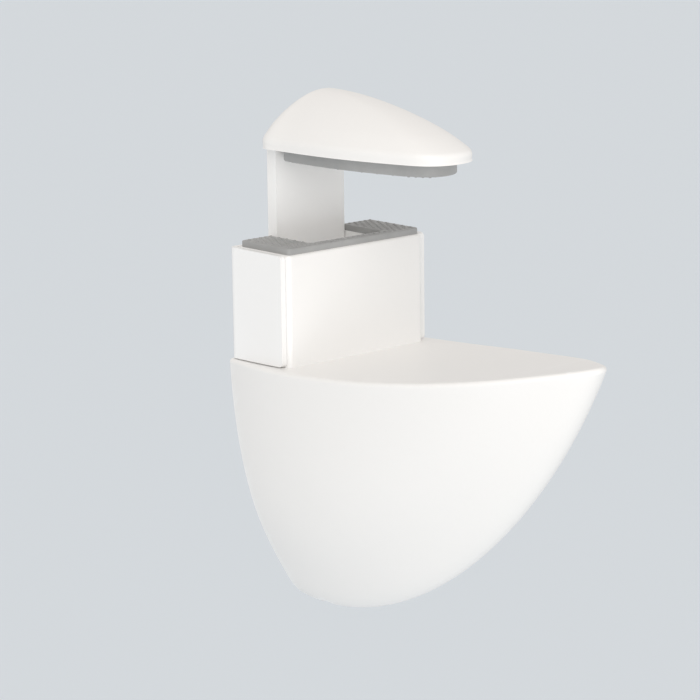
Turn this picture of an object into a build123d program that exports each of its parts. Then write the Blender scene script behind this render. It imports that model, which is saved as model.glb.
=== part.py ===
from build123d import *
import os

# An adjustable clamp bracket for a shelf board, in millimetres.
# X = 0 is its middle plane, Y = 0 the wall behind it and Z = 0 the line of the two wall screws.
# The board enters from the front (-Y), and rests on the seat pad under the upper jaw.

os.makedirs("parts", exist_ok=True)

# Driving dimensions
board = 20.0                # thickness of the board that is clamped at rest
seat_level = 48.8           # underside of the board
deck_level = 16.2           # top of the lower body, at the wall
deck_radius = 560.0         # the top then sweeps up to the tip on this radius
deck_thickness = 3.6
skin = 3.0                  # wall of the lower body's casting
clearance = 0.3             # between pieces that slide or hang on each other
screw_play = 0.05           # between a screw and its thread
seat_play = 0.1             # between a pad or a nut and its seat
beyond = 60.0               # a length that passes through every piece

# The lower body is part of an egg, whose half profile gives its radius along X
body_half_width = 30.2
body_half_height = 108.9
body_half_depth = 71.0
body_tilt = 33.4
body_centre = (0, -40.3, 43.1)
body_profile = [(0, 1.004), (0.3, 0.913), (0.6, 0.754), (0.86, 0.504)]

# The column between the body and the board
sheet = 1.6                 # folded steel of the wall carrier
carrier_half_width = 25.9
carrier_depth = 21.4
block_front = -22.6
pad_thickness = 2.0

# The upper jaw and its slide
neck_half_width = 12.2
neck_back = -0.4
neck_front = -4.0
slide_front = -17.9
slide_bottom = 28.8
slide_top = 38.0
cap_lift = 3.8              # lower edge of the cap above the board
cap_half_width = 16.5
cap_length = 62.2
jaw_pad_inset = 4.2
jaw_pad_back = -7.0
jaw_pad_recess = 1.5

# Above its upright edge the cap's plan shrinks towards the peak, as a flattened round
cap_height = 15.45
cap_edge = 2.6
cap_peak = -11.5
crown_fall = 0.36
crown_steps = [0.0, 0.1, 0.25, 0.4, 0.55, 0.7, 0.82, 0.91, 0.965, 0.99]

# The clamp screw and what it turns in
screw_y = -11.0
screw_radius = 3.0
screw_length = 35.0
head_radius = 5.0
head_height = 6.0
washer_radius = 6.2
washer_thickness = 1.0
boss_bottom = 11.0
ring_radius = 5.6
ring_thickness = 0.8
ring_recess = 1.5
nut_size = 10.0
nut_thickness = 5.0
nut_bottom = 30.8
key_hole_radius = 3.4

# Hooks, wall screws, lock screw and block screws
hook_x = 18.4
hook_width = 4.0
hook_bottom = 29.0
hook_height = 9.0
hook_reach = 8.4
wall_hole_radius = 2.75
wall_hole_x = 10.0
lock_y = -4.0
lock_tab_bottom = -24.0
lock_tab_reach = 7.2
lock_radius = 2.0
lock_length = 10.0
block_screw_x = 18.4
block_screw_y = -16.8
block_screw_radius = 2.0
block_screw_length = 12.0
block_boss_bottom = 11.8

# Levels and half widths that follow from them
lowest = lock_tab_bottom - beyond
board_top = seat_level + board
cap_bottom = board_top + cap_lift
column_top = seat_level - pad_thickness
deck_underside = deck_level - deck_thickness
shaft_half_width = neck_half_width + clearance
shaft_front = slide_front - clearance
block_half_width = carrier_half_width - sheet - 0.1
block_back = -sheet - clearance


def egg(half_width, half_height, half_depth, tilt, centre, profile):
    """An egg: a half profile is turned about X, flattened front to back, tilted and placed."""
    with BuildPart() as turned:
        with BuildSketch(Plane.XY):
            with BuildLine():
                right = [(half_width * x, half_height * r) for x, r in profile]
                left = [(-x, r) for x, r in reversed(right[1:])]
                tips = [(-half_width, 0), (half_width, 0)]
                edge = Spline(tips[:1] + left + right + tips[1:], tangents=[(0, 1), (0, -1)])
                Line(edge @ 1, edge @ 0)
            make_face()
        revolve(axis=Axis.X)
    flattened = scale(turned.part, by=(1, half_depth / half_height, 1))
    return Location(centre) * Rotation(tilt, 0, 0) * flattened


def below_deck(top):
    """A side profile: everything in front of the wall and under the body's swept top."""
    reach, floor = -130.0, -90.0
    rise = reach ** 2 / (2 * deck_radius)
    with BuildSketch(Plane.YZ) as region:
        with BuildLine():
            sweep_line = ThreePointArc((0, top), (reach / 2, top + rise / 4), (reach, top + rise))
            Polyline(sweep_line @ 1, (reach, floor), (0, floor), sweep_line @ 0)
        make_face()
    return region.sketch


def both_sides(x, y):
    """The two places that mirror each other in the middle plane."""
    return Locations((-x, y), (x, y))


# Lower body: a hollow casting, open to the wall, with a swept top
body_form = egg(body_half_width, body_half_height, body_half_depth,
                body_tilt, body_centre, body_profile)
hollow_form = egg(body_half_width - skin, body_half_height - skin, body_half_depth - skin,
                  body_tilt, body_centre, body_profile)

with BuildPart() as hollow:
    add(hollow_form)
    extrude(below_deck(deck_underside), amount=beyond, both=True, mode=Mode.INTERSECT)

with BuildPart() as lock_boss:
    with BuildSketch(Plane.XY.offset(lock_tab_bottom - clearance)):
        with Locations((0, lock_y)):
            Circle(lock_radius + 1.5)
    extrude(amount=-beyond)
    add(body_form, mode=Mode.INTERSECT)

with BuildPart() as deck_ribs:
    rib_thickness, rib_depth, rib_length = 2.0, 5.0, 56.0
    rib_x, rib_y = 12, -54
    with BuildSketch(Plane.XY.offset(deck_underside - rib_depth)):
        with Locations((-rib_x, rib_y), (0, rib_y - 4), (rib_x, rib_y)):
            Rectangle(rib_thickness, rib_length)
    extrude(amount=beyond)
    add(hollow.part, mode=Mode.INTERSECT)

with BuildPart() as lower_body:
    add(body_form)
    extrude(below_deck(deck_level), amount=beyond, both=True, mode=Mode.INTERSECT)
    long_edges = lower_body.edges().filter_by(lambda e: e.length > 80)
    fillet(long_edges.filter_by(lambda e: e.center().Z > deck_level - 1), radius=1.0)
    add(hollow.part, mode=Mode.SUBTRACT)
    add(deck_ribs.part)
    add(lock_boss.part)
    with BuildSketch(Plane.XY.offset(boss_bottom)):
        with Locations((0, screw_y)):
            Circle(washer_radius + 2)
    extrude(amount=deck_thickness)
    with BuildSketch(Plane.XY.offset(block_boss_bottom)):
        with both_sides(block_screw_x, block_screw_y):
            Circle(block_screw_radius + 3)
    extrude(amount=deck_thickness)
    # the web of the wall carrier passes behind the top
    web_gap = sheet + clearance
    with BuildSketch(Plane.XY.offset(deck_underside - 1)):
        with Locations((0, -web_gap / 2)):
            Rectangle(43, web_gap)
    extrude(amount=6, mode=Mode.SUBTRACT)
    # the clamp screw, its retaining ring and the way in for its key
    with BuildSketch(Plane.XY.offset(boss_bottom)):
        with Locations((0, screw_y)):
            Circle(screw_radius + clearance)
    extrude(amount=10, mode=Mode.SUBTRACT)
    with BuildSketch(Plane.XY.offset(deck_level - ring_recess)):
        with Locations((0, screw_y)):
            Circle(ring_radius + 1)
    extrude(amount=5, mode=Mode.SUBTRACT)
    with BuildSketch(Plane.XY.offset(lowest)):
        with Locations((0, screw_y)):
            Circle(key_hole_radius)
    extrude(amount=beyond, mode=Mode.SUBTRACT)
    with BuildSketch(Plane.XY.offset(block_boss_bottom)):
        with both_sides(block_screw_x, block_screw_y):
            Circle(block_screw_radius + 0.25)
    extrude(amount=8, mode=Mode.SUBTRACT)
    with BuildSketch(Plane.XY.offset(lowest)):
        with Locations((0, lock_y)):
            Circle(lock_radius + screw_play)
    extrude(amount=beyond, mode=Mode.SUBTRACT)

lower_body.part.label = "lower_body"
export_step(lower_body.part, "parts/lower_body.step")


# Seat block: the casting that stands on the body and carries the board
with BuildPart() as seat_block:
    block_depth = block_back - block_front
    with BuildSketch(Plane.XY.offset(deck_level - 2)):
        with Locations((0, (block_back + block_front) / 2)):
            Rectangle(2 * block_half_width, block_depth)
    extrude(amount=column_top - deck_level + 2)
    fillet(seat_block.edges().filter_by(Axis.Z).group_by(Axis.Y)[0], radius=1.4)
    top_edges = seat_block.faces().sort_by(Axis.Z)[-1].edges()
    fillet(top_edges.sort_by(Axis.Y)[:-1], radius=0.8)
    # the slide of the jaw runs in a shaft, open at the back and at the top
    with BuildSketch(Plane.XY.offset(deck_level - 3)):
        with Locations((0, shaft_front / 2)):
            Rectangle(2 * shaft_half_width, -shaft_front)
    extrude(amount=beyond, mode=Mode.SUBTRACT)
    # a pocket each side takes a hook of the wall carrier, and a lip hangs on the hook
    pocket_bottom, pocket_top = 20.5, 44.0
    with BuildSketch(Plane.XZ.offset(-block_back - 1)):
        with both_sides(hook_x, (pocket_bottom + pocket_top) / 2):
            Rectangle(hook_width + 2, pocket_top - pocket_bottom)
    extrude(amount=hook_reach + clearance + block_back + 2, mode=Mode.SUBTRACT)
    lip_bottom, lip_height = hook_bottom + sheet + screw_play, 4.4
    with BuildSketch(Plane.XZ.offset(-block_back)):
        with both_sides(hook_x, lip_bottom + lip_height / 2):
            Rectangle(hook_width + 3, lip_height)
    extrude(amount=hook_reach - sheet - clearance + block_back)
    with BuildSketch(Plane.XY.offset(deck_level - 1)):
        with both_sides(block_screw_x, block_screw_y):
            Circle(block_screw_radius + screw_play)
    extrude(amount=9.5, mode=Mode.SUBTRACT)
    # the underside follows the swept top of the body
    extrude(below_deck(deck_level), amount=beyond, both=True, mode=Mode.SUBTRACT)

seat_block.part.label = "seat_block"
export_step(seat_block.part, "parts/seat_block.step")


# Wall carrier: one folded steel sheet, screwed to the wall, with a channel round the seat block
with BuildPart() as channel:
    with BuildSketch(Plane.XY.offset(deck_level)):
        with Locations((0, -carrier_depth / 2)):
            Rectangle(2 * carrier_half_width, carrier_depth)
        with Locations((0, -sheet - carrier_depth / 2)):
            Rectangle(2 * (carrier_half_width - sheet), carrier_depth, mode=Mode.SUBTRACT)
    extrude(amount=column_top - deck_level)
    fillet(channel.edges().filter_by(Axis.Z).group_by(Axis.Y)[-1], radius=sheet + 0.4)
    extrude(below_deck(deck_level + clearance), amount=beyond, both=True, mode=Mode.SUBTRACT)
    front_edges = channel.edges().filter_by(Axis.X).group_by(Axis.Y)[0]
    fillet(front_edges, radius=1.2)

with BuildPart() as wall_carrier:
    add(channel.part)
    tongue_top = deck_level + 2
    with BuildSketch(Plane.XZ):
        with BuildLine():
            Polyline((0, tongue_top), (21, tongue_top), (21, 4), (14.5, lock_tab_bottom),
                     (0, lock_tab_bottom))
            mirror(about=Plane.YZ)
        make_face()
    extrude(amount=sheet)
    # the neck of the jaw passes through a slot, open at the top
    slot_bottom = deck_level - 0.5
    with BuildSketch(Plane.XZ.offset(-1)):
        with Locations((0, (slot_bottom + column_top + 1) / 2)):
            Rectangle(2 * shaft_half_width, column_top + 1 - slot_bottom)
    extrude(amount=sheet + 2, mode=Mode.SUBTRACT)
    # two hooks are cut out of the web and bent forward
    hook_top = hook_bottom + hook_height
    with BuildSketch(Plane.XZ.offset(-1)):
        with both_sides(hook_x, hook_bottom + sheet + 7):
            Rectangle(hook_width + 0.6, 14)
    extrude(amount=sheet + 2, mode=Mode.SUBTRACT)
    with BuildSketch(Plane.YZ.offset(hook_x - hook_width / 2)) as hook:
        with BuildLine():
            inner = sheet - hook_reach
            FilletPolyline((-sheet + 0.2, hook_bottom), (-hook_reach, hook_bottom),
                           (-hook_reach, hook_top), radius=sheet + 0.4)
            Line((-hook_reach, hook_top), (inner, hook_top))
            FilletPolyline((inner, hook_top), (inner, hook_bottom + sheet),
                           (-sheet + 0.2, hook_bottom + sheet), radius=0.4)
            Line((-sheet + 0.2, hook_bottom + sheet), (-sheet + 0.2, hook_bottom))
        make_face()
    extrude(amount=hook_width)
    with BuildSketch(Plane.YZ.offset(-hook_x - hook_width / 2)):
        add(Location((0, 0, 0)) * hook.sketch_local)
    extrude(amount=hook_width)
    # a tab at the foot is bent forward over the lock screw
    with BuildSketch(Plane.XY.offset(lock_tab_bottom)):
        with Locations((0, -lock_tab_reach / 2)):
            Rectangle(11, lock_tab_reach)
    extrude(amount=sheet)
    with BuildSketch(Plane.XZ.offset(-1)):
        with both_sides(wall_hole_x, 0):
            Circle(wall_hole_radius)
    extrude(amount=sheet + 2, mode=Mode.SUBTRACT)

wall_carrier.part.label = "wall_carrier"
export_step(wall_carrier.part, "parts/wall_carrier.step")


# Seat pad: the soft pad under the board, on the seat block
with BuildPart() as seat_pad:
    pad_back, pad_front = block_back - 0.3, block_front + 0.7
    with BuildSketch(Plane.XY.offset(column_top)):
        with Locations((0, (pad_back + pad_front) / 2)):
            Rectangle(2 * (block_half_width - 0.8), pad_back - pad_front)
        with Locations((0, (shaft_front - clearance) / 2)):
            Rectangle(2 * (shaft_half_width + 0.5), clearance - shaft_front, mode=Mode.SUBTRACT)
    extrude(amount=pad_thickness)
    fillet(seat_pad.edges().filter_by(Axis.Z).group_by(Axis.Y)[0], radius=1.2)
    rim_edges = seat_pad.faces().sort_by(Axis.Z)[-1].edges()
    fillet(rim_edges, radius=0.4)

seat_pad.part.label = "seat_pad"
export_step(seat_pad.part, "parts/seat_pad.step")


# Upper jaw: a domed cap on a neck, with a slide and the seat of its nut, cast in one
def cap_outline(narrower, shorter, pivot):
    """The plan of the cap, drawn in to the middle plane and to a pivot in front of the wall."""
    side = [(7.2, -59.7), (11.3, -51), (14.8, -35), (16.3, -17), (16.4, -8.5), (15.8, -3), (9.5, -0.55)]
    other_side = [(-x, y) for x, y in reversed(side)]
    outline = [(0, neck_back)] + other_side + [(0, -cap_length)] + side
    with BuildSketch() as plan:
        with BuildLine():
            places = [(x * narrower, pivot + (y - pivot) * shorter) for x, y in outline]
            Spline(places, periodic=True)
        make_face()
    return plan.sketch


def inset_outline(inset):
    """The plan of the cap's edge, drawn in by an inset all round."""
    half_length = (neck_back + cap_length) / 2
    return cap_outline(1 - inset / cap_half_width, 1 - inset / half_length, neck_back - half_length)


def crown_share(step):
    """The share of its full plan that the cap has at a step of the way up its crown."""
    return (1 - step ** 2) ** 0.5 * (1 - crown_fall * step)


with BuildPart() as cap:
    crown_levels = [(cap_edge + step * (cap_height - cap_edge), 0.99 * crown_share(step))
                    for step in crown_steps]
    for lift, share in [(0, 1), (cap_edge / 2, 0.998)] + crown_levels:
        with BuildSketch(Plane.XY.offset(cap_bottom + lift)):
            add(cap_outline(share, share, cap_peak))
    loft()
    with BuildSketch(Plane.XY.offset(cap_bottom)):
        add(inset_outline(jaw_pad_inset - seat_play))
        Rectangle(60, -2 * jaw_pad_back - 2 * seat_play, mode=Mode.SUBTRACT)
    extrude(amount=jaw_pad_recess, mode=Mode.SUBTRACT)

with BuildPart() as upper_jaw:
    add(cap.part)
    with BuildSketch(Plane.XY.offset(slide_bottom)):
        with Locations((0, (neck_back + neck_front) / 2)):
            Rectangle(2 * neck_half_width, neck_back - neck_front)
    extrude(amount=cap_bottom + 2 - slide_bottom)
    with BuildSketch(Plane.XY.offset(slide_bottom)):
        with Locations((0, (neck_back + slide_front) / 2)):
            Rectangle(2 * neck_half_width, neck_back - slide_front)
    extrude(amount=slide_top - slide_bottom)
    with BuildSketch(Plane.XY.offset(slide_bottom)):
        with Locations((0, screw_y)):
            Circle(screw_radius + clearance)
    extrude(amount=slide_top - slide_bottom, mode=Mode.SUBTRACT)
    nut_slot_back = screw_y + nut_size / 2 + 0.1
    with BuildSketch(Plane.XY.offset(nut_bottom - 0.1)):
        with Locations((0, (nut_slot_back + slide_front) / 2)):
            Rectangle(nut_size + 0.2, nut_slot_back - slide_front)
    extrude(amount=nut_thickness + 0.2, mode=Mode.SUBTRACT)

upper_jaw.part.label = "upper_jaw"
export_step(upper_jaw.part, "parts/upper_jaw.step")


# Jaw pad: the soft pad that presses on the board, seated in the cap
with BuildPart() as jaw_pad:
    with BuildSketch(Plane.XY.offset(board_top)):
        add(inset_outline(jaw_pad_inset))
        Rectangle(60, -2 * jaw_pad_back, mode=Mode.SUBTRACT)
    extrude(amount=cap_lift + jaw_pad_recess)

jaw_pad.part.label = "jaw_pad"
export_step(jaw_pad.part, "parts/jaw_pad.step")


# Slide nut: a square nut held in the slide of the jaw
with BuildPart() as slide_nut:
    with BuildSketch(Plane.XY.offset(nut_bottom)):
        with Locations((0, screw_y)):
            Rectangle(nut_size, nut_size)
    extrude(amount=nut_thickness)
    chamfer(slide_nut.edges().filter_by(Axis.Z), length=0.6)
    with BuildSketch(Plane.XY.offset(nut_bottom)):
        with Locations((0, screw_y)):
            Circle(screw_radius + screw_play)
    extrude(amount=nut_thickness, mode=Mode.SUBTRACT)

slide_nut.part.label = "slide_nut"
export_step(slide_nut.part, "parts/slide_nut.step")


# Clamp screw: turned with a key from below, it draws the nut and the jaw down
bearing_level = boss_bottom - washer_thickness
groove_bottom = deck_level - ring_recess + 0.1

with BuildPart() as clamp_screw:
    with BuildSketch(Plane.XY.offset(bearing_level)):
        with Locations((0, screw_y)):
            Circle(screw_radius)
    extrude(amount=screw_length)
    chamfer(clamp_screw.faces().sort_by(Axis.Z)[-1].edges(), length=0.6)
    with BuildSketch(Plane.XY.offset(bearing_level - head_height)):
        with Locations((0, screw_y)):
            Circle(head_radius)
    extrude(amount=head_height)
    fillet(clamp_screw.faces().sort_by(Axis.Z)[0].edges(), radius=0.5)
    with BuildSketch(Plane.XY.offset(bearing_level - head_height)):
        with Locations((0, screw_y)):
            RegularPolygon(2.5, 6, major_radius=False)
    extrude(amount=3.2, mode=Mode.SUBTRACT)
    with BuildSketch(Plane.XY.offset(groove_bottom)):
        with Locations((0, screw_y)):
            Circle(screw_radius + 1)
            Circle(screw_radius - 0.6, mode=Mode.SUBTRACT)
    extrude(amount=ring_thickness + 0.1, mode=Mode.SUBTRACT)

clamp_screw.part.label = "clamp_screw"
export_step(clamp_screw.part, "parts/clamp_screw.step")


# Screw washer: between the head of the clamp screw and the body
with BuildPart() as screw_washer:
    with BuildSketch(Plane.XY.offset(bearing_level)):
        with Locations((0, screw_y)):
            Circle(washer_radius)
            Circle(screw_radius + 0.2, mode=Mode.SUBTRACT)
    extrude(amount=washer_thickness)

screw_washer.part.label = "screw_washer"
export_step(screw_washer.part, "parts/screw_washer.step")


# Retaining ring: an open ring in the groove of the clamp screw, so that it also lifts the jaw
with BuildPart() as retaining_ring:
    with BuildSketch(Plane.XY.offset(groove_bottom + 0.05)):
        with Locations((0, screw_y)):
            Circle(ring_radius)
            Circle(screw_radius - 0.55, mode=Mode.SUBTRACT)
        with Locations((0, screw_y - ring_radius / 2)):
            Rectangle(3.6, ring_radius, mode=Mode.SUBTRACT)
    extrude(amount=ring_thickness)

retaining_ring.part.label = "retaining_ring"
export_step(retaining_ring.part, "parts/retaining_ring.step")


# Block screws: two screws that hold the seat block on the body, from below
with BuildPart() as block_screws:
    with BuildSketch(Plane.XY.offset(block_boss_bottom)):
        with both_sides(block_screw_x, block_screw_y):
            Circle(block_screw_radius)
    extrude(amount=block_screw_length)
    with BuildSketch(Plane.XY.offset(block_boss_bottom - 2.4)):
        with both_sides(block_screw_x, block_screw_y):
            Circle(block_screw_radius + 1.8)
    extrude(amount=2.4)
    fillet(block_screws.edges().group_by(Axis.Z)[0], radius=0.8)
    with BuildSketch(Plane.XY.offset(block_boss_bottom - 2.4)):
        with both_sides(block_screw_x, block_screw_y):
            RegularPolygon(1.25, 6, major_radius=False)
    extrude(amount=1.5, mode=Mode.SUBTRACT)

block_screws.part.label = "block_screws"
export_step(block_screws.part, "parts/block_screws.step")


# Lock screw: a set screw that presses up on the tab and pulls the body down on its hooks
with BuildPart() as lock_screw:
    with BuildSketch(Plane.XY.offset(lock_tab_bottom - lock_length)):
        with Locations((0, lock_y)):
            Circle(lock_radius)
    extrude(amount=lock_length)
    chamfer(lock_screw.edges().group_by(Axis.Z)[-1], length=0.5)
    with BuildSketch(Plane.XY.offset(lock_tab_bottom - lock_length)):
        with Locations((0, lock_y)):
            RegularPolygon(1, 6, major_radius=False)
    extrude(amount=2.5, mode=Mode.SUBTRACT)

lock_screw.part.label = "lock_screw"
export_step(lock_screw.part, "parts/lock_screw.step")
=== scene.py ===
# %% [markdown]
# # An adjustable clamp bracket
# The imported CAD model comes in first. It is the frame of everything below: its pieces are at
# their real size and place, and nothing here moves or resizes them. Every length is in metres.
# What this script adds is the finish of each surface, the threads and heads of the screws, and
# the two soft pads.

# %% The frame
import math

import bmesh
import bpy
from mathutils import Matrix, Vector


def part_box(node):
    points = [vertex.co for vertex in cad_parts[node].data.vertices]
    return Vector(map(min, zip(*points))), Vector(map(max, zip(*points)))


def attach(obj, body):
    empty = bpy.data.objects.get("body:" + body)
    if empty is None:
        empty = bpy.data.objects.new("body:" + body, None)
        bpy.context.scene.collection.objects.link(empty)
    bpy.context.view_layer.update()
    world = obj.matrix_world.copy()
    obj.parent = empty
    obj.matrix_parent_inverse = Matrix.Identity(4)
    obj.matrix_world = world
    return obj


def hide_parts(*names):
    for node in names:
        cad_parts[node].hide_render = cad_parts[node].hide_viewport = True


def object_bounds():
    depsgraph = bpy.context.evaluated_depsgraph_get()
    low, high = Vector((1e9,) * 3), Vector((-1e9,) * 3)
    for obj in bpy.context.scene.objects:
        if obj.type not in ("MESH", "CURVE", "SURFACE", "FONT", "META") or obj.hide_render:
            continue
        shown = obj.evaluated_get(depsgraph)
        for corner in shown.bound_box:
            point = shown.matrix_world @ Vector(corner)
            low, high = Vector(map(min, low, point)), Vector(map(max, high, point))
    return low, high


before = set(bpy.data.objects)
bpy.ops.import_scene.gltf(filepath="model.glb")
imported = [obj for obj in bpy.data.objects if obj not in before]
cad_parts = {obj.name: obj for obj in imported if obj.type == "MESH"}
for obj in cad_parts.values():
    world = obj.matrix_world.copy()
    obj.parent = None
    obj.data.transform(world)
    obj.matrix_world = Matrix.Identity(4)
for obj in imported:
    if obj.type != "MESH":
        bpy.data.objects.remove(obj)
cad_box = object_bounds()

MM = 0.001
SCENE = bpy.context.scene
print("pieces:", sorted(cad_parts))
print("size of the frame in mm:", [round((high - low) / MM, 1) for low, high in zip(*cad_box)])


# %% [markdown]
# ## The camera
# The photograph was taken with a long lens, from the left of the front and a little above.
# A camera could be aimed at the object's middle, but the picture's own edges say more: where
# they run fixes how far the camera was turned, tilted and rolled, and how far off it stood.

# %% The camera
CAMERA_PLACE = Vector((-480.5, -558.9, 176.4)) * MM
TURN = math.radians(41.686)      # to the right, away from the Y axis
TILT = math.radians(12.41)       # downwards
ROLL = math.radians(-0.73)       # round the line of sight
SENSOR_WIDTH = 36                # in millimetres, as the focal length is
FOCAL_LENGTH = 140.28
NEAREST_SHOWN = 10 * MM

forward = Vector((math.sin(TURN) * math.cos(TILT),
                  math.cos(TURN) * math.cos(TILT),
                  -math.sin(TILT)))
level_right = Vector((math.cos(TURN), -math.sin(TURN), 0))
level_up = level_right.cross(forward)
right = math.cos(ROLL) * level_right + math.sin(ROLL) * level_up
up = math.cos(ROLL) * level_up - math.sin(ROLL) * level_right
turned = Matrix((right, up, -forward)).transposed().to_4x4()

lens = bpy.data.cameras.new("photo_lens")
lens.lens = FOCAL_LENGTH
lens.sensor_width = SENSOR_WIDTH
lens.clip_start = NEAREST_SHOWN
camera = bpy.data.objects.new("photo_camera", lens)
camera.matrix_world = Matrix.Translation(CAMERA_PLACE) @ turned
SCENE.collection.objects.link(camera)
SCENE.camera = camera
print("camera to the origin:", round(CAMERA_PLACE.length, 3), "m")


# %% [markdown]
# ## Floor and light
# The bracket hangs, so the floor lies well below it and only gives the picture its even, pale
# ground. Panels close by would light that ground in patches. So the light comes from two wide
# suns, whose discs are as broad as a studio's softboxes seen from the object: a strong one from
# the camera's side draws the form, and a weak one from the right keeps that side open. Only the
# underside gets a panel, low in front of the bracket. The pale surroundings do the rest.

# %% A finish for the floor
def new_material(name):
    """A new material, its node tree and its Principled shader."""
    material = bpy.data.materials.new(name)
    material.use_nodes = True
    tree = material.node_tree
    return material, tree, tree.nodes["Principled BSDF"]


def set_inputs(node, values):
    """Sets plain values on a node's inputs, each by its name."""
    for key, value in values.items():
        node.inputs[key].default_value = value


floor_paint, _, floor_shader = new_material("floor_paint")
set_inputs(floor_shader, {
    "Base Color": (0.72, 0.77, 0.815, 1), "Roughness": 0.95, "Specular IOR Level": 0.1})
print("floor finish:", floor_paint.name)

# %% The floor
FLOOR_DROP = 0.7                 # from the bracket's lowest point down to the floor
FLOOR_HALF = 20.0                # half of its side
floor_level = cad_box[0][2] - FLOOR_DROP


def mesh_object(name, vertices, faces, material):
    """An object from points and faces, at the origin."""
    mesh = bpy.data.meshes.new(name)
    mesh.from_pydata(vertices, [], faces)
    mesh.materials.append(material)
    made = bpy.data.objects.new(name, mesh)
    SCENE.collection.objects.link(made)
    return made


floor_corners = [(side * FLOOR_HALF, end * FLOOR_HALF, floor_level)
                 for side, end in ((-1, -1), (1, -1), (1, 1), (-1, 1))]
floor = mesh_object("floor", floor_corners, [(0, 1, 2, 3)], floor_paint)
print("floor at", round(floor_level, 3), "m")

# %% The surroundings
world = bpy.data.worlds.new("pale_room")
world.use_nodes = True
set_inputs(world.node_tree.nodes["Background"], {"Color": (1.0, 0.98, 0.965, 1), "Strength": 0.7})
SCENE.world = world
SCENE.view_settings.view_transform = "Standard"
print("surroundings:", world.name)


# %% The lights
def lamp(name, kind, direction, strength, colour):
    """A lamp of one kind, which shines in a direction."""
    data = bpy.data.lights.new(name, kind)
    data.energy = strength
    data.color = colour
    made = bpy.data.objects.new(name, data)
    made.rotation_euler = Vector(direction).to_track_quat("-Z", "Y").to_euler()
    SCENE.collection.objects.link(made)
    return made


def wide_sun(name, direction, strength, spread, colour):
    """A soft sun, whose spread is how broad its disc looks, in degrees."""
    sun = lamp(name, "SUN", direction, strength, colour)
    sun.data.angle = math.radians(spread)


wide_sun("key_sun", direction=(0.62, 0.6, -0.6), strength=1.05, spread=50,
         colour=(1.0, 0.985, 0.96))
wide_sun("fill_sun", direction=(-0.8, 0.45, -0.3), strength=0.2, spread=70,
         colour=(0.98, 0.99, 1.0))

PANEL_SIZE = 0.5
PANEL_PLACE = Vector((-0.35, -0.75, -0.22))
PANEL_AIM = Vector((0, -0.045, -0.01))
low_panel = lamp("low_panel", "AREA", direction=PANEL_AIM - PANEL_PLACE, strength=1.9,
                 colour=(1.0, 0.98, 0.96))
low_panel.location = PANEL_PLACE
low_panel.data.size = PANEL_SIZE


# %% [markdown]
# ## Powder coat
# The castings and the folded carrier are coated with a satin white powder. Melted powder isn't
# perfectly level: it has a faint orange peel about a millimetre across, and its tone drifts a
# little over a hand's width. Noise on the object's own coordinates gives both at their real scale,
# on every piece alike, and the same noise makes the gloss uneven. The coat also draws thin over
# sharp edges,
# and there its colour is painted lighter: a painted highlight on the edges' roundings.

# %% Helpers for material trees
def noise(tree, scale, detail, roughness=0.5):
    """Noise on the object's own coordinates, where scale is in features per metre."""
    coordinates = tree.nodes.new("ShaderNodeTexCoord")
    texture = tree.nodes.new("ShaderNodeTexNoise")
    set_inputs(texture, {"Scale": scale, "Detail": detail, "Roughness": roughness})
    tree.links.new(coordinates.outputs["Object"], texture.inputs["Vector"])
    return texture.outputs["Fac"]


def ramp(tree, value, start, start_colour, end, end_colour):
    """A colour that goes from one to another while the value goes from start to end."""
    made = tree.nodes.new("ShaderNodeValToRGB")
    stops = ((start, start_colour), (end, end_colour))
    for element, (position, colour) in zip(made.color_ramp.elements, stops):
        element.position = position
        element.color = (*colour, 1)
    tree.links.new(value, made.inputs["Fac"])
    return made.outputs["Color"]


def to_range(tree, value, low, high):
    """A value from 0 to 1, spread between two limits."""
    made = tree.nodes.new("ShaderNodeMapRange")
    set_inputs(made, {"To Min": low, "To Max": high})
    tree.links.new(value, made.inputs["Value"])
    return made.outputs["Result"]


def bump(tree, height, distance, strength, below=None):
    """A bump of a real height, on top of another one where there is one."""
    made = tree.nodes.new("ShaderNodeBump")
    set_inputs(made, {"Distance": distance, "Strength": strength})
    tree.links.new(height, made.inputs["Height"])
    if below:
        tree.links.new(below, made.inputs["Normal"])
    return made.outputs["Normal"]


# %% The powder coat
BLACK = (0, 0, 0)
WHITE = (1, 1, 1)
# Painted highlight: sharp edges take this lighter tone, where the coat also draws thin.
THIN_COAT_AND_HIGHLIGHT = (0.93, 0.925, 0.915, 1)     # the tone on sharp edges


def powder_coat(name, pale, deep, peel):
    """Satin powder coat that drifts between two tones, where peel is its orange peel's strength."""
    material, tree, shader = new_material(name)
    tone = ramp(tree, noise(tree, scale=14, detail=2),
                start=0.3, start_colour=deep, end=0.7, end_colour=pale)
    # Sharp edges take the lighter tone: the coat is thin there, and the lighter colour is a painted
    # highlight.
    sharpness = tree.nodes.new("ShaderNodeNewGeometry").outputs["Pointiness"]
    thin_edge_highlight = ramp(tree, sharpness, start=0.5, start_colour=BLACK, end=0.62, end_colour=WHITE)
    edge_highlight_mix = tree.nodes.new("ShaderNodeMix")
    edge_highlight_mix.data_type = "RGBA"
    edge_highlight_mix.inputs["B"].default_value = THIN_COAT_AND_HIGHLIGHT
    tree.links.new(thin_edge_highlight, edge_highlight_mix.inputs["Factor"])
    tree.links.new(tone, edge_highlight_mix.inputs["A"])
    tree.links.new(edge_highlight_mix.outputs["Result"], shader.inputs["Base Color"])
    orange_peel = noise(tree, scale=950, detail=1.5, roughness=0.4)
    grain = noise(tree, scale=5200, detail=1)
    gloss = to_range(tree, orange_peel, low=0.34, high=0.46)
    tree.links.new(gloss, shader.inputs["Roughness"])
    swell = bump(tree, orange_peel, distance=0.06 * MM, strength=peel)
    skin = bump(tree, grain, distance=0.01 * MM, strength=peel, below=swell)
    tree.links.new(skin, shader.inputs["Normal"])
    set_inputs(shader, {"IOR": 1.5, "Coat Weight": 0.12, "Coat Roughness": 0.25})
    return material


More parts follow.
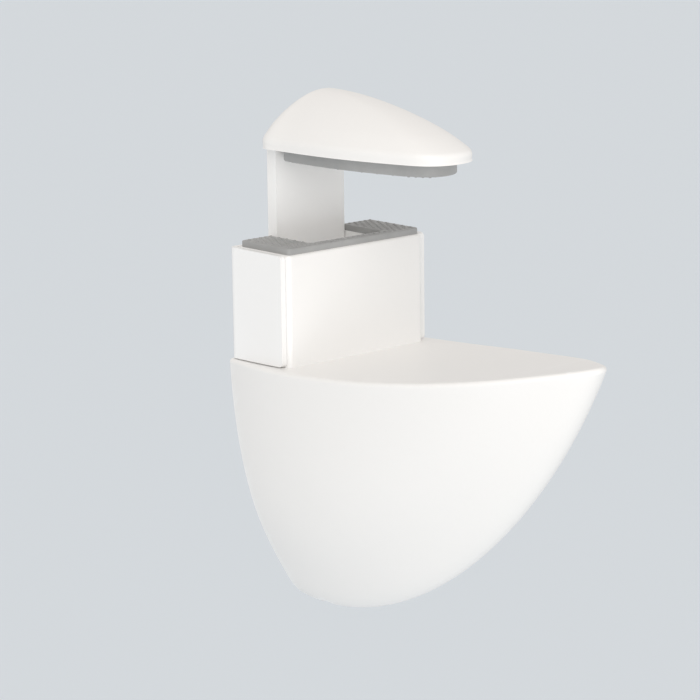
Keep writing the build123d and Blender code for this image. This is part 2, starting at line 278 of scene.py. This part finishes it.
cast_coat = powder_coat("cast_coat", pale=(0.885, 0.868, 0.845), deep=(0.865, 0.85, 0.83),
                        peel=0.35)
sheet_coat = powder_coat("sheet_coat", pale=(0.86, 0.845, 0.825), deep=(0.84, 0.828, 0.81),
                         peel=0.25)
print("coats:", cast_coat.name, sheet_coat.name)


# %% [markdown]
# ## Zinc-plated steel
# Screws, washer, nut and ring are steel with a thin zinc layer. Bright zinc is a pale, slightly
# bluish metal whose gloss is uneven from the barrel that it was plated in. A metallic shader
# with a cloudy tint and a finer noise in its roughness reads as that, without drawn scratches.

# %% The zinc
def zinc_plate(name):
    """Bright zinc on steel: an uneven gloss and a faint tint that drifts."""
    material, tree, shader = new_material(name)
    tint = ramp(tree, noise(tree, scale=260, detail=3, roughness=0.6),
                start=0.35, start_colour=(0.55, 0.565, 0.59),
                end=0.65, end_colour=(0.68, 0.68, 0.67))
    tree.links.new(tint, shader.inputs["Base Color"])
    gloss = to_range(tree, noise(tree, scale=1500, detail=2), low=0.24, high=0.44)
    tree.links.new(gloss, shader.inputs["Roughness"])
    grain = bump(tree, noise(tree, scale=3200, detail=2), distance=0.01 * MM, strength=0.3)
    tree.links.new(grain, shader.inputs["Normal"])
    shader.inputs["Metallic"].default_value = 1.0
    return material


zinc = zinc_plate("zinc")
print("plating:", zinc.name)


# %% [markdown]
# ## Pad rubber
# The pads are moulded from a soft, pale grey rubber. It is matt, with a little sheen where it is
# seen from the side, and its surface has the fine spark grain of its mould.

# %% The rubber
def pad_rubber(name):
    """Matt moulded rubber with a fine mould grain."""
    material, tree, shader = new_material(name)
    tone = ramp(tree, noise(tree, scale=90, detail=3),
                start=0.3, start_colour=(0.33, 0.33, 0.325),
                end=0.7, end_colour=(0.385, 0.385, 0.38))
    tree.links.new(tone, shader.inputs["Base Color"])
    gloss = to_range(tree, noise(tree, scale=2400, detail=2), low=0.62, high=0.8)
    tree.links.new(gloss, shader.inputs["Roughness"])
    mould_grain = noise(tree, scale=4200, detail=2, roughness=0.6)
    grain = bump(tree, mould_grain, distance=0.03 * MM, strength=0.5)
    tree.links.new(grain, shader.inputs["Normal"])
    shader.inputs["Sheen Weight"].default_value = 0.15
    return material


rubber = pad_rubber("rubber")
print("pads:", rubber.name)


# %% [markdown]
# ## Dressing the pieces of the frame
# The castings, the carrier, the nut, the washer and the ring have their true form in the CAD
# model, so they stay as they are and only take their finish, through their own material slots.

# %% The finishes go on
FINISHES = {
    "lower_body": cast_coat,
    "seat_block": cast_coat,
    "upper_jaw": cast_coat,
    "wall_carrier": sheet_coat,
    "slide_nut": zinc,
    "screw_washer": zinc,
    "retaining_ring": zinc,
}
for node, finish in FINISHES.items():
    for material_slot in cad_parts[node].material_slots:
        material_slot.material = finish
    print(node, "in", finish.name, len(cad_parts[node].data.polygons), "triangles")


# %% [markdown]
# ## The screws
# A screw is a turned head on a rolled thread. The head has no rule that repeats, so it is a
# stack of rings, of which some are round, some knurled and some hexagonal. The thread is a rule:
# one height that winds up the shank. Geometry Nodes roll a flat grid into it, put the head on,
# and set as many copies as the place needs. All the screws of the bracket come from that tree.

# %% Rings for a head
AROUND = 72                      # points in a ring
SIXTH = 60                       # degrees between a hexagon's corners
TIP = 0.1 * MM                   # radius at which a drilled point is closed


def round_ring(radius, level):
    """A ring of points on a circle."""
    return [(radius, level)] * AROUND


def hexagon_ring(across_flats, level):
    """A ring of points on a hexagon, given across its flats."""
    ring = []
    for step in range(AROUND):
        off_flat = (step / AROUND * 360 + SIXTH / 2) % SIXTH - SIXTH / 2
        ring.append((across_flats / 2 / math.cos(math.radians(off_flat)), level))
    return ring


def knurled_ring(radius, level, depth):
    """A ring whose points go in and out, as on a knurled head."""
    return [(radius - depth * (step % 2), level) for step in range(AROUND)]


def key_socket(end, across_flats, depth, cone, chamfer, mouth):
    """The rings of a hexagon socket, from its drilled point to its mouth at the screw's end."""
    floor_of_socket = end + depth
    return [round_ring(TIP, floor_of_socket + cone),
            hexagon_ring(across_flats, floor_of_socket),
            hexagon_ring(across_flats, end + chamfer),
            round_ring(mouth, end)]


def loft(name, rings, material):
    """Skins a stack of rings and closes it at both ends."""
    points, faces = [], []
    for ring in rings:
        for step, (radius, level) in enumerate(ring):
            angle = 2 * math.pi * step / AROUND
            points.append((radius * math.cos(angle), radius * math.sin(angle), level))
    for row in range(len(rings) - 1):
        for step in range(AROUND):
            after = (step + 1) % AROUND
            faces.append((row * AROUND + step, row * AROUND + after,
                          (row + 1) * AROUND + after, (row + 1) * AROUND + step))
    last = (len(rings) - 1) * AROUND
    faces.append(tuple(reversed(range(AROUND))))
    faces.append(tuple(range(last, last + AROUND)))
    return mesh_object(name, points, faces, material)


# %% [markdown]
# ### Words for a node tree
# A tree of Geometry Nodes is mostly sums, and each sum is a node of its own. They could be
# wired one by one, but the formula would be lost among the links. A small class keeps each sum
# to a word, so that the trees below read like the formulas that they are.

# %% Words for a node tree
class Wiring:
    """A geometry tree with named inputs, and short words for the nodes in it."""

    def __init__(self, name, inputs):
        self.tree = bpy.data.node_groups.new(name, "GeometryNodeTree")
        sockets = self.tree.interface
        sockets.new_socket("Geometry", in_out="OUTPUT", socket_type="NodeSocketGeometry")
        for title, (kind, value) in inputs.items():
            socket = sockets.new_socket(title, in_out="INPUT", socket_type="NodeSocket" + kind)
            if value is not None:
                socket.default_value = value
        self.given = self.tree.nodes.new("NodeGroupInput").outputs

    def put(self, node, key, value):
        """Links a socket, or sets a plain value."""
        if isinstance(value, bpy.types.NodeSocket):
            self.tree.links.new(value, node.inputs[key])
        else:
            node.inputs[key].default_value = value

    def node(self, kind, settings=None, **inputs):
        """A node with its settings and inputs, whose names have _ for a space."""
        made = self.tree.nodes.new(kind)
        for key, value in (settings or {}).items():
            setattr(made, key, value)
        for key, value in inputs.items():
            self.put(made, key.replace("_", " "), value)
        return made

    def calc(self, operation, *values):
        """One step of arithmetic."""
        made = self.node("ShaderNodeMath", {"operation": operation})
        for place, value in enumerate(values):
            self.put(made, place, value)
        return made.outputs[0]

    def add(self, first, second):
        """first + second"""
        return self.calc("ADD", first, second)

    def less(self, first, second):
        """first - second"""
        return self.calc("SUBTRACT", first, second)

    def times(self, first, second):
        """first * second"""
        return self.calc("MULTIPLY", first, second)

    def over(self, first, second):
        """first / second"""
        return self.calc("DIVIDE", first, second)

    def vector(self, x=0.0, y=0.0, z=0.0):
        """A vector from three values."""
        return self.node("ShaderNodeCombineXYZ", X=x, Y=y, Z=z).outputs[0]

    def split(self, vector):
        """The three values of a vector."""
        return self.node("ShaderNodeSeparateXYZ", Vector=vector).outputs

    def position(self):
        """The three values of each point's place."""
        return self.split(self.node("GeometryNodeInputPosition").outputs[0])

    def mesh_of(self, title):
        """The mesh of the object that an input gives."""
        return self.node("GeometryNodeObjectInfo", Object=self.given[title]).outputs["Geometry"]

    def join(self, *parts):
        """Several geometries as one."""
        made = self.node("GeometryNodeJoinGeometry")
        for part in parts:
            self.tree.links.new(part, made.inputs[0])
        return made.outputs[0]

    def put_out(self, geometry):
        """Ends the tree: copies become real faces, and all of it takes the given material."""
        real = self.node("GeometryNodeRealizeInstances", Geometry=geometry)
        coated = self.node("GeometryNodeSetMaterial", Geometry=real.outputs[0],
                           Material=self.given["Material"])
        end = self.node("NodeGroupOutput")
        self.tree.links.new(coated.outputs[0], end.inputs[0])


# %% [markdown]
# ### The rolled shank
# The grid is one unit wide and high, and lies round its own middle. Its width becomes one turn
# round the shank, and its height the shank's length. Each point's radius goes in where the
# groove runs, and the groove climbs one pitch in each turn, so the two long edges of the grid
# meet and are welded.

# %% The rolled shank
SHANK_AROUND = 40                # faces round the shank
ROWS_PER_TURN = 12
SPARE_ROWS = 2                   # so that no turn gets fewer rows than that
CREST_END = 0.12                 # where on the wave from 0 to 1 the thread's crest ends
ROOT_START = 0.85                # and where the root of its groove starts
WELD = 0.002 * MM


def rolled_shank(wire):
    """A threaded shank round Z, closed and a little pointed at its upper end."""
    shank, plain, pitch = (wire.given[title] for title in ("Shank", "Plain Shank", "Pitch"))
    full, deep = (wire.given[title] for title in ("Radius", "Thread Depth"))
    rows = wire.add(wire.times(wire.over(shank, pitch), ROWS_PER_TURN), SPARE_ROWS)
    grid = wire.node("GeometryNodeMeshGrid", Size_X=1.0, Size_Y=1.0,
                     Vertices_X=SHANK_AROUND + 1, Vertices_Y=rows)
    place = wire.position()
    turn = wire.add(place["X"], 0.5)
    height = wire.times(wire.add(place["Y"], 0.5), shank)
    # how deep the groove is here: a wave that climbs one pitch in each turn
    phase = wire.calc("FRACT", wire.less(wire.over(height, pitch), turn))
    wave = wire.calc("ABSOLUTE", wire.less(wire.times(phase, 2.0), 1.0))
    flank = wire.node("ShaderNodeMapRange", {"interpolation_type": "SMOOTHSTEP"},
                      Value=wave, From_Min=CREST_END, From_Max=ROOT_START)
    # the groove fades in after the plain stretch, and the end is pointed a little
    fade = wire.node("ShaderNodeMapRange",
                     Value=height, From_Min=plain, From_Max=wire.add(plain, pitch))
    groove = wire.times(wire.times(flank.outputs[0], fade.outputs[0]), deep)
    to_end = wire.less(shank, height)
    point = wire.add(wire.less(full, deep), to_end)
    radius = wire.calc("MINIMUM", wire.less(full, groove), point)
    # the first and last rows shrink to a point, which closes the shank
    half_row = wire.times(wire.over(shank, wire.less(rows, 1.0)), 0.5)
    between_ends = wire.times(wire.calc("GREATER_THAN", height, half_row),
                              wire.calc("GREATER_THAN", to_end, half_row))
    radius = wire.times(radius, between_ends)
    angle = wire.times(turn, 2 * math.pi)
    spot = wire.vector(wire.times(radius, wire.calc("COSINE", angle)),
                       wire.times(radius, wire.calc("SINE", angle)), height)
    rolled = wire.node("GeometryNodeSetPosition", Geometry=grid.outputs["Mesh"], Position=spot)
    welded = wire.node("GeometryNodeMergeByDistance", Geometry=rolled.outputs[0], Distance=WELD)
    return welded.outputs[0]


# %% The tree of a screw
def screw_tree():
    """A node tree that puts a head on a rolled shank and sets the copies side by side."""
    wire = Wiring("screw_maker", {
        "Head": ("Object", None),
        "Radius": ("Float", 3 * MM),
        "Pitch": ("Float", 1 * MM),
        "Thread Depth": ("Float", 0.5 * MM),
        "Shank": ("Float", 30 * MM),
        "Plain Shank": ("Float", 0.0),
        "Level": ("Float", 0.0),
        "Depth Place": ("Float", 0.0),
        "Half Spacing": ("Float", 0.0),
        "Count": ("Int", 1),
        "Material": ("Material", None),
    })
    given = wire.given
    screw = wire.join(rolled_shank(wire), wire.mesh_of("Head"))
    first = wire.vector(wire.times(given["Half Spacing"], -1.0),
                        given["Depth Place"], given["Level"])
    apart = wire.vector(wire.times(given["Half Spacing"], 2.0))
    places = wire.node("GeometryNodeMeshLine",
                       Count=given["Count"], Start_Location=first, Offset=apart)
    copies = wire.node("GeometryNodeInstanceOnPoints", Points=places.outputs[0], Instance=screw)
    wire.put_out(copies.outputs[0])
    return wire.tree


SCREWS = screw_tree()
print("screw tree:", len(SCREWS.nodes), "nodes")


# %% [markdown]
# ### From a tree to a piece
# A modifier only shows what its tree makes, but a finished piece has to be a plain mesh. So each
# tree runs on an empty object, its result is read off as a mesh, and the modifier goes. The
# piece then takes the place of its plain CAD node and rides on the same body, so that it moves
# with the joints.

# %% Running a tree
def grow(name, tree, values):
    """Runs a tree with the given inputs and returns its result as a plain mesh object."""
    made = bpy.data.objects.new(name, bpy.data.meshes.new(name))
    SCENE.collection.objects.link(made)
    modifier = made.modifiers.new("growth", "NODES")
    modifier.node_group = tree
    sockets = {item.name: item.identifier for item in tree.interface.items_tree
               if item.in_out == "INPUT"}
    for key, value in values.items():
        modifier[sockets[key]] = value
    bpy.context.view_layer.update()
    evaluated = made.evaluated_get(bpy.context.evaluated_depsgraph_get())
    result = bpy.data.meshes.new_from_object(evaluated)
    made.modifiers.remove(modifier)
    made.data = result
    return made


# %% Taking a CAD node's place
CREASE = math.radians(35)        # a sharper edge than this stays crisp


def shade_by_angle(piece):
    """Smooth shading, with the sharp edges kept crisp."""
    form = bmesh.new()
    form.from_mesh(piece.data)
    for face in form.faces:
        face.smooth = True
    for edge in form.edges:
        edge.smooth = not (edge.is_manifold and edge.calc_face_angle(0) > CREASE)
    form.to_mesh(piece.data)
    form.free()


def stand_in(piece, node, body):
    """A finished piece takes the place of its plain CAD node and rides on that node's body."""
    shade_by_angle(piece)
    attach(piece, body)
    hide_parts(node)
    print(piece.name, "has", len(piece.data.polygons), "faces")


def set_screws(node, head, head_height, body, sizes):
    """Screws in place of their CAD node, whose box gives their length and where they stand."""
    low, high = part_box(node)
    screws = grow("threaded_" + node, SCREWS, {
        "Head": head, "Shank": high[2] - low[2] - head_height, "Level": low[2] + head_height,
        "Depth Place": (low[1] + high[1]) / 2, "Material": zinc, **sizes})
    bpy.data.objects.remove(head)
    stand_in(screws, node, body)


# %% [markdown]
# ### The clamp screw
# It is an M6 socket head screw, which a hexagon key turns from below. The head's rings run from
# the bottom of its socket, out over the rounded end and along the knurled side, to the bearing
# face at level 0, where the shank begins. Its radius is read off the frame, so that the head
# fills its solid.

# %% The clamp screw
M6 = {"Radius": 3 * MM, "Pitch": 1 * MM, "Thread Depth": 0.5 * MM}
CLAMP_PLAIN_SHANK = 6.5 * MM
M6_NECK = 2.9 * MM               # radius inside the shank, where the skin of the head ends
HEAD_HEIGHT = 6.0 * MM
ROUNDING = 0.5 * MM
BULGE = 0.3 * ROUNDING           # how far the middle of a rounding is from both of its faces
KNURL = 0.12 * MM
KNURL_START = 0.8 * MM           # from the head's outer end
KNURL_END = 0.9 * MM             # from its bearing face
BEARING_CHAMFER = 0.3 * MM       # round the bearing face
BEARING_CHAMFER_HEIGHT = 0.5 * MM
clamp_low, clamp_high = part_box("clamp_screw")
head_radius = (clamp_high[0] - clamp_low[0]) / 2
clamp_socket = key_socket(-HEAD_HEIGHT, across_flats=5.0 * MM, depth=3.2 * MM, cone=1.0 * MM,
                          chamfer=0.3 * MM, mouth=3.1 * MM)
clamp_head = loft("clamp_head", clamp_socket + [
    round_ring(head_radius - ROUNDING, -HEAD_HEIGHT),
    round_ring(head_radius - BULGE, -HEAD_HEIGHT + BULGE),
    round_ring(head_radius - KNURL, -HEAD_HEIGHT + ROUNDING),
    knurled_ring(head_radius, -HEAD_HEIGHT + KNURL_START, KNURL),
    knurled_ring(head_radius, -KNURL_END, KNURL),
    round_ring(head_radius - KNURL, -BEARING_CHAMFER_HEIGHT),
    round_ring(head_radius - BEARING_CHAMFER, 0),
    round_ring(M6_NECK, 0),
], zinc)
set_screws("clamp_screw", clamp_head, HEAD_HEIGHT, "screw",
           {**M6, "Plain Shank": CLAMP_PLAIN_SHANK})

# %% [markdown]
# ### The block screws
# Two M4 screws hold the seat block on the body from below. Their low button heads fit in the
# narrow room under the body's top. The dome is a quarter of an ellipse, stepped by its angle.

# %% The block screws
M4 = {"Radius": 2 * MM, "Pitch": 0.7 * MM, "Thread Depth": 0.38 * MM}
M4_NECK = 1.9 * MM
BLOCK_PLAIN_SHANK = 2.5 * MM
BUTTON_HEIGHT = 2.4 * MM
BUTTON_CHAMFER = 0.15 * MM
DOME_WIDTH = 1.7 * MM
DOME_HEIGHT = 1.9 * MM
DOME_STEPS = 6
block_low, block_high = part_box("block_screws")
button_radius = (block_high[1] - block_low[1]) / 2
button_rings = key_socket(-BUTTON_HEIGHT, across_flats=2.5 * MM, depth=1.5 * MM, cone=0.5 * MM,
                          chamfer=0.2 * MM, mouth=1.6 * MM)
for step in range(DOME_STEPS + 1):
    angle = math.pi / 2 * step / DOME_STEPS
    button_rings.append(round_ring(button_radius - DOME_WIDTH * (1 - math.sin(angle)),
                                   -BUTTON_HEIGHT + DOME_HEIGHT * (1 - math.cos(angle))))
button_rings += [
    round_ring(button_radius, -BUTTON_CHAMFER),
    round_ring(button_radius - BUTTON_CHAMFER, 0),
    round_ring(M4_NECK, 0),
]
set_screws("block_screws", loft("button_head", button_rings, zinc), BUTTON_HEIGHT, "base",
           {**M4, "Plain Shank": BLOCK_PLAIN_SHANK,
            "Half Spacing": block_high[0] - button_radius, "Count": 2})

# %% [markdown]
# ### The lock screw
# The M4 set screw that presses on the carrier's tab has no head, only a socket in its lower
# end. That end is made as a short plain collar, which takes a head's place in the tree.

# %% The lock screw
COLLAR_HEIGHT = 2.6 * MM
COLLAR_RADIUS = 1.95 * MM
COLLAR_FACE = 1.6 * MM           # radius of its two end faces
LOWER_CHAMFER = 0.35 * MM
UPPER_CHAMFER = 0.2 * MM
collar_socket = key_socket(-COLLAR_HEIGHT, across_flats=2.0 * MM, depth=2.0 * MM, cone=0.3 * MM,
                           chamfer=0.2 * MM, mouth=1.3 * MM)
socket_collar = loft("socket_collar", collar_socket + [
    round_ring(COLLAR_FACE, -COLLAR_HEIGHT),
    round_ring(COLLAR_RADIUS, -COLLAR_HEIGHT + LOWER_CHAMFER),
    round_ring(COLLAR_RADIUS, -UPPER_CHAMFER),
    round_ring(COLLAR_FACE, 0),
], zinc)
set_screws("lock_screw", socket_collar, COLLAR_HEIGHT, "base", M4)


# %% [markdown]
# ## The soft pads
# A pad with a flat face would slip on what it holds, so its contact face is moulded with rows
# of small blunt pimples. The pad itself is a plain slab: its outline is drawn up, and the rim
# round the contact face is bevelled. The pimples are a rule, so Geometry Nodes lay a staggered
# grid over the contact face, keep the points whose ray meets the face, and set a pimple on each.
# A hundred little cones made by hand could follow no change.

# %% A slab with a rounded rim
SAME_LEVEL = 0.01 * MM           # points closer in height than this are on one level
RIM_SEGMENTS = 3


def slab(name, outline, low, high, rim, rim_level):
    """A rubber slab drawn up from an outline, whose rim at one level is rounded off."""
    form = bmesh.new()
    face = form.faces.new([form.verts.new((x, y, low)) for x, y in outline])
    face.normal_update()
    if face.normal.z > 0:
        face.normal_flip()
    drawn = bmesh.ops.extrude_face_region(form, geom=[face], use_keep_orig=True)
    for item in drawn["geom"]:
        if isinstance(item, bmesh.types.BMVert):
            item.co.z = high
    rims = [edge for edge in form.edges
            if all(abs(end.co.z - rim_level) < SAME_LEVEL for end in edge.verts)]
    bmesh.ops.bevel(form, geom=rims, offset=rim, segments=RIM_SEGMENTS, profile=0.5, affect="EDGES")
    bmesh.ops.recalc_face_normals(form, faces=form.faces)
    made = mesh_object(name, [], [], rubber)
    form.to_mesh(made.data)
    form.free()
    return made


# %% Outlines
CORNER_STEPS = 5


def rounded(corners, radius):
    """A polygon whose corners are rounded, given in order round the outline."""
    points = []
    for place, corner in enumerate(corners):
        corner = Vector(corner)
        before = (Vector(corners[place - 1]) - corner).normalized()
        after = (Vector(corners[(place + 1) % len(corners)]) - corner).normalized()
        start, end = corner + before * radius, corner + after * radius
        for step in range(CORNER_STEPS + 1):
            share = step / CORNER_STEPS
            rest = 1 - share
            points.append(start * rest ** 2 + corner * 2 * share * rest + end * share ** 2)
    return points


def drawn_in(outline, inset):
    """The outline moved inwards, each point along the mean normal of its two sides."""
    moved = []
    for place, point in enumerate(outline):
        side = outline[(place + 1) % len(outline)] - outline[place - 1]
        moved.append(point + Vector((-side.y, side.x)).normalized() * inset)
    return moved


# %% A staggered grid over a face
LIFT = 1 * MM                    # the grid starts this far above the face, and its rays go down
RAY_LENGTH = 5 * MM
DOWN = (0, 0, -1)


def staggered_grid(wire, face):
    """Points above a face, in rows of which every second one is moved on by half a pitch."""
    pitch = wire.given["Pitch"]
    extent = wire.node("GeometryNodeBoundBox", Geometry=face).outputs
    low, high = wire.split(extent["Min"]), wire.split(extent["Max"])
    middle_x, middle_y = (wire.times(wire.add(low[axis], high[axis]), 0.5) for axis in (0, 1))
    # an even number of whole pitches covers the face, so the rows lie alike on both sides
    row_pitch = wire.times(pitch, math.sqrt(3) / 2)
    half_columns = wire.calc("CEIL", wire.over(wire.less(high[0], middle_x), pitch))
    half_rows = wire.calc("CEIL", wire.over(wire.less(high[1], middle_y), row_pitch))
    columns, rows = wire.times(half_columns, 2.0), wire.times(half_rows, 2.0)
    grid = wire.node("GeometryNodeMeshGrid",
                     Size_X=wire.times(columns, pitch), Size_Y=wire.times(rows, row_pitch),
                     Vertices_X=wire.add(columns, 1.0), Vertices_Y=wire.add(rows, 1.0))
    spot = wire.position()
    row = wire.calc("ROUND", wire.over(spot["Y"], row_pitch))
    odd = wire.calc("ABSOLUTE", wire.calc("MODULO", row, 2.0))
    stagger = wire.times(wire.times(odd, 0.5), pitch)
    place = wire.vector(wire.add(wire.add(spot["X"], middle_x), stagger),
                        wire.add(spot["Y"], middle_y), wire.add(low[2], LIFT))
    spread = wire.node("GeometryNodeSetPosition", Geometry=grid.outputs["Mesh"], Position=place)
    return spread.outputs[0]


# %% The tree that sets the pimples
PIMPLE_SIDES = 10
PIMPLE_TAPER = 0.55              # the radius of its blunt tip, as a share of its foot's


def pimple_tree():
    """A node tree that joins a pad with the pimples on its contact face."""
    wire = Wiring("pimple_setter", {
        "Pad": ("Object", None),
        "Contact Face": ("Object", None),
        "Pitch": ("Float", 1.8 * MM),
        "Radius": ("Float", 0.5 * MM),
        "Height": ("Float", 0.3 * MM),
        "Tip Over": ("Float", 0.0),
        "Material": ("Material", None),
    })
    given = wire.given
    face = wire.mesh_of("Contact Face")
    ray = wire.node("GeometryNodeRaycast",
                    Target_Geometry=face, Ray_Direction=DOWN, Ray_Length=RAY_LENGTH)
    kept = wire.node("GeometryNodeSeparateGeometry", {"domain": "POINT"},
                     Geometry=staggered_grid(wire, face), Selection=ray.outputs["Is Hit"])
    settled = wire.node("GeometryNodeSetPosition", Geometry=kept.outputs[0], Offset=(0, 0, -LIFT))
    cone = wire.node("GeometryNodeMeshCone", Vertices=PIMPLE_SIDES, Radius_Bottom=given["Radius"],
                     Radius_Top=wire.times(given["Radius"], PIMPLE_TAPER), Depth=given["Height"])
    pimples = wire.node("GeometryNodeInstanceOnPoints", Points=settled.outputs[0],
                        Instance=cone.outputs["Mesh"], Rotation=wire.vector(given["Tip Over"]))
    wire.put_out(wire.join(pimples.outputs[0], wire.mesh_of("Pad")))
    return wire.tree


PIMPLES = pimple_tree()
print("pimple tree:", len(PIMPLES.nodes), "nodes")

# %% A soft pad
PIMPLE_PITCH = 1.9 * MM
PIMPLE_RADIUS = 0.55 * MM
PIMPLE_HEIGHT = 0.3 * MM
PIMPLE_MARGIN = 1.1 * MM         # the bare strip along the rim


def soft_pad(node, outline, body, faces_up, rim):
    """A rubber pad in place of its CAD node, with pimples on its upper or its lower face."""
    low, high = (corner[2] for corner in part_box(node))
    contact = high - PIMPLE_HEIGHT if faces_up else low + PIMPLE_HEIGHT
    levels = (low, contact) if faces_up else (contact, high)
    plain = slab(node + "_slab", outline, *levels, rim, contact)
    ground = [(*point, contact) for point in drawn_in(outline, PIMPLE_MARGIN)]
    target = mesh_object(node + "_contact", ground, [tuple(range(len(ground)))], rubber)
    made = grow("grip_" + node, PIMPLES, {
        "Pad": plain, "Contact Face": target, "Pitch": PIMPLE_PITCH, "Radius": PIMPLE_RADIUS,
        "Height": PIMPLE_HEIGHT, "Tip Over": 0.0 if faces_up else math.pi, "Material": rubber})
    for helper in (plain, target):
        bpy.data.objects.remove(helper)
    stand_in(made, node, body)


# %% [markdown]
# ### The seat pad
# It lies on top of the seat block and is cut out round the jaw's slide, so its outline is a U
# that is open at the back. The outer edges are read off the frame, and only the cut-out has
# sizes of its own.

# %% The seat pad
NOTCH_HALF = 13.0 * MM
NOTCH_FRONT = -18.5 * MM
SEAT_CORNER = 1.0 * MM
SEAT_RIM = 0.35 * MM
seat_low, seat_high = (Vector(corner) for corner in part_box("seat_pad"))
right_half = [(seat_high.x, seat_low.y), (seat_high.x, seat_high.y),
              (NOTCH_HALF, seat_high.y), (NOTCH_HALF, NOTCH_FRONT)]
left_half = [(-x, y) for x, y in reversed(right_half)]
soft_pad("seat_pad", rounded(right_half + left_half, SEAT_CORNER), "base", faces_up=True,
         rim=SEAT_RIM)

# %% [markdown]
# ### The jaw pad
# It lies in the underside of the cap, and its outline follows the cap's own. No formula is
# needed for it here: the lowest points of the CAD node are that outline, once they are put in
# order.

# %% The jaw pad
JAW_RIM = 0.5 * MM
DECIMALS = 7                     # points that agree so far are one point


def lower_outline(node):
    """The outline of a node's lowest face, read off the frame, in order round its middle."""
    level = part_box(node)[0][2]
    points = {(round(vertex.co.x, DECIMALS), round(vertex.co.y, DECIMALS))
              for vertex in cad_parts[node].data.vertices
              if abs(vertex.co.z - level) < SAME_LEVEL}
    middle = sum((Vector(point) for point in points), Vector((0, 0))) / len(points)
    return sorted((Vector(point) for point in points),
                  key=lambda point: math.atan2(point.y - middle.y, point.x - middle.x))


soft_pad("jaw_pad", lower_outline("jaw_pad"), "jaw", faces_up=False, rim=JAW_RIM)
